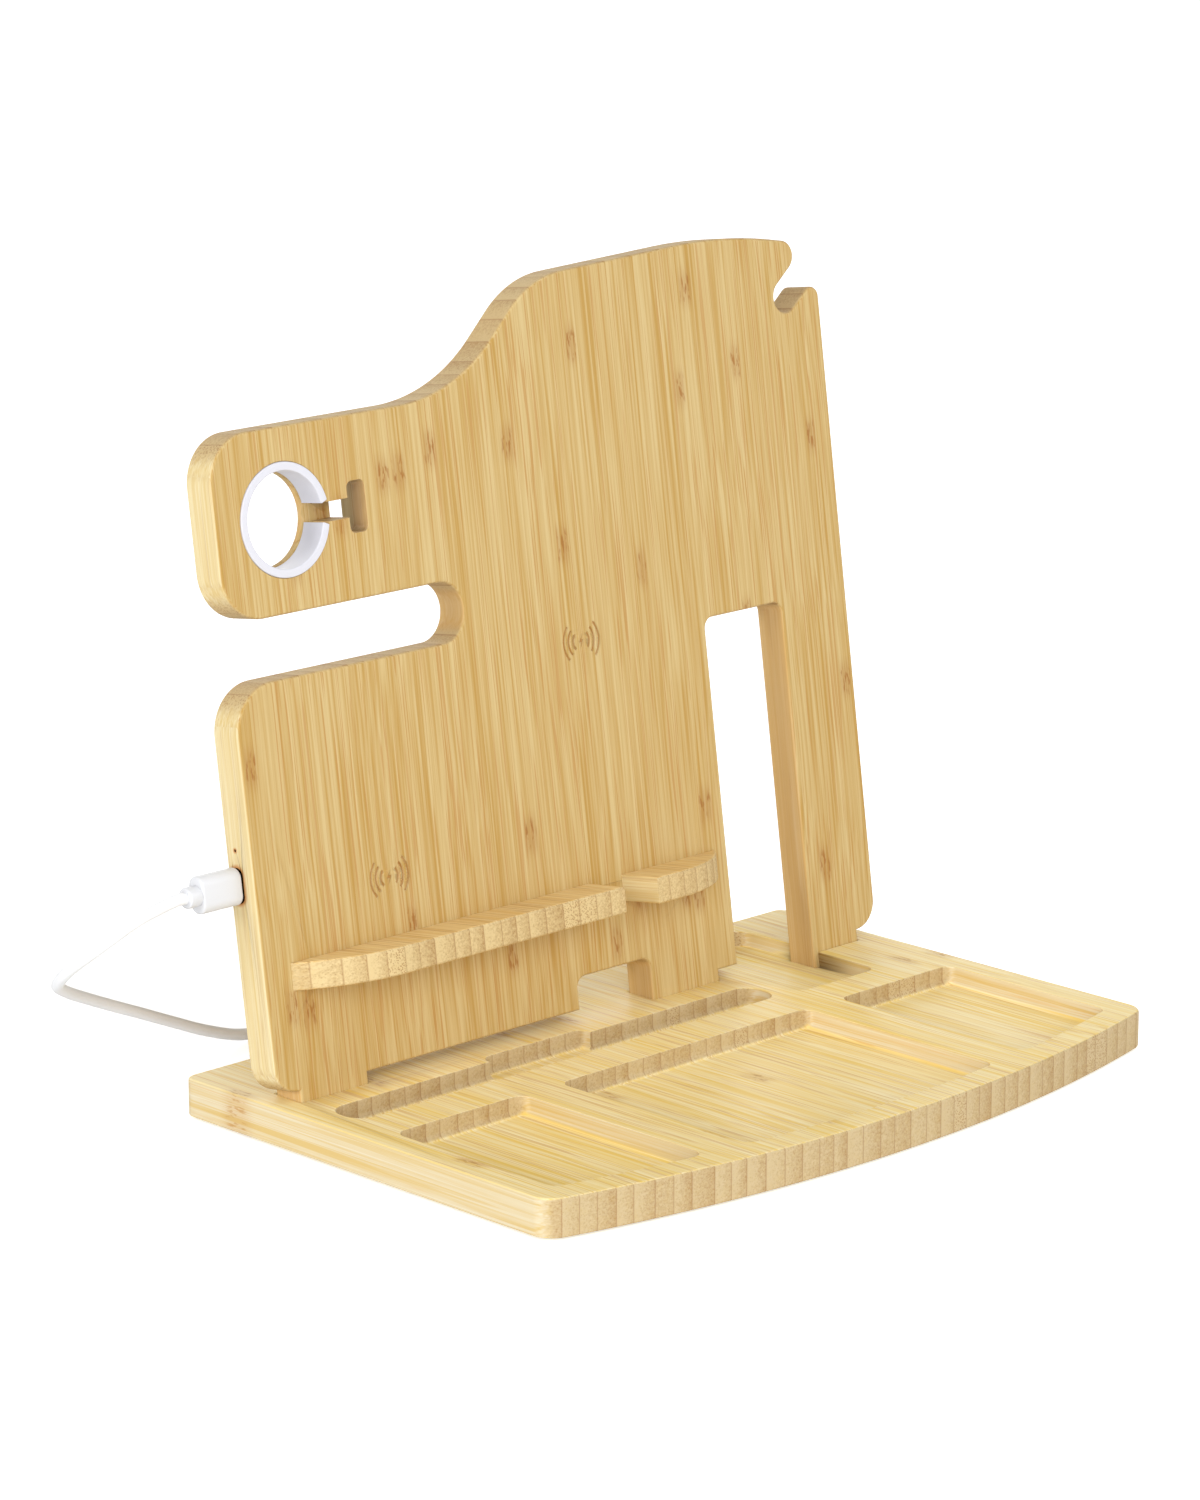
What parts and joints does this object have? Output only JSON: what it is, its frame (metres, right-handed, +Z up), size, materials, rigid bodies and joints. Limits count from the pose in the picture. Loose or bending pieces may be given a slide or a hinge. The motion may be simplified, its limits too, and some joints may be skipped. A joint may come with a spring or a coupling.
{
  "type": "charging station organizer",
  "caption": "Bamboo desk organizer: a leaning board with phone ledges, watch ring and hook stands in a routed tray base, with wireless charging and a power lead.",
  "frame": {"origin": "on the table under the middle of the base's width and depth", "axes": "+X to the right seen from the front, -Y towards the front, +Z up"},
  "size_m": [0.3103, 0.2404, 0.2458],
  "materials": {
    "bamboo_base": "satin varnish, grain from front to back",
    "bamboo_board": "satin varnish, upright grain",
    "bamboo_ledge": "satin varnish, grain from front to back",
    "bamboo_cover": "satin varnish, upright grain",
    "beech_dowel": "raw",
    "white_plastic": "fine moulded",
    "white_grip": "soft moulded",
    "cord_jacket": "smooth",
    "tie_strap": "woven strap",
    "foot_rubber": "matt",
    "steel_shell": "bright",
    "screw_steel": "bright zinc",
    "copper_wire": "enamelled",
    "ferrite": "matt ceramic",
    "board_green": "solder mask",
    "component_black": "moulded",
    "lead_red": "insulated wire",
    "led_lens": "clear"
  },
  "bodies": {
    "base": {"base_board": "bamboo_base", "feet": "foot_rubber"},
    "board": {"back_board": "bamboo_board", "ledge_long": "bamboo_ledge", "ledge_short": "bamboo_ledge", "ledge_dowels": "beech_dowel", "watch_ring": "white_plastic", "rear_cover": "bamboo_cover", "cover_screws": "screw_steel", "coil_lower": "copper_wire", "coil_upper": "copper_wire", "ferrite_lower": "ferrite", "ferrite_upper": "ferrite", "circuit_board": "board_green", "board_components": "component_black", "coil_leads": "lead_red", "usb_socket": "steel_shell", "status_led": "component_black", "light_pipe": "led_lens"},
    "cable": {"plug_shell": "steel_shell", "plug_body": "white_grip", "plug_collar": "white_grip", "cord_lead": "cord_jacket", "cord_coil": "cord_jacket", "cable_ties": "tie_strap", "far_collar": "white_grip", "far_plug_body": "white_grip", "far_plug_shell": "steel_shell"}
  },
  "joints": [
    {"name": "board_lift", "type": "slide", "parent": "base", "child": "board", "axis": [0, 0.1392, 0.9903], "range_m": [0, 0.01]},
    {"name": "plug_pull", "type": "slide", "parent": "board", "child": "cable", "axis": [-1, 0, 0], "range_m": [0, 0.012]}
  ]
}
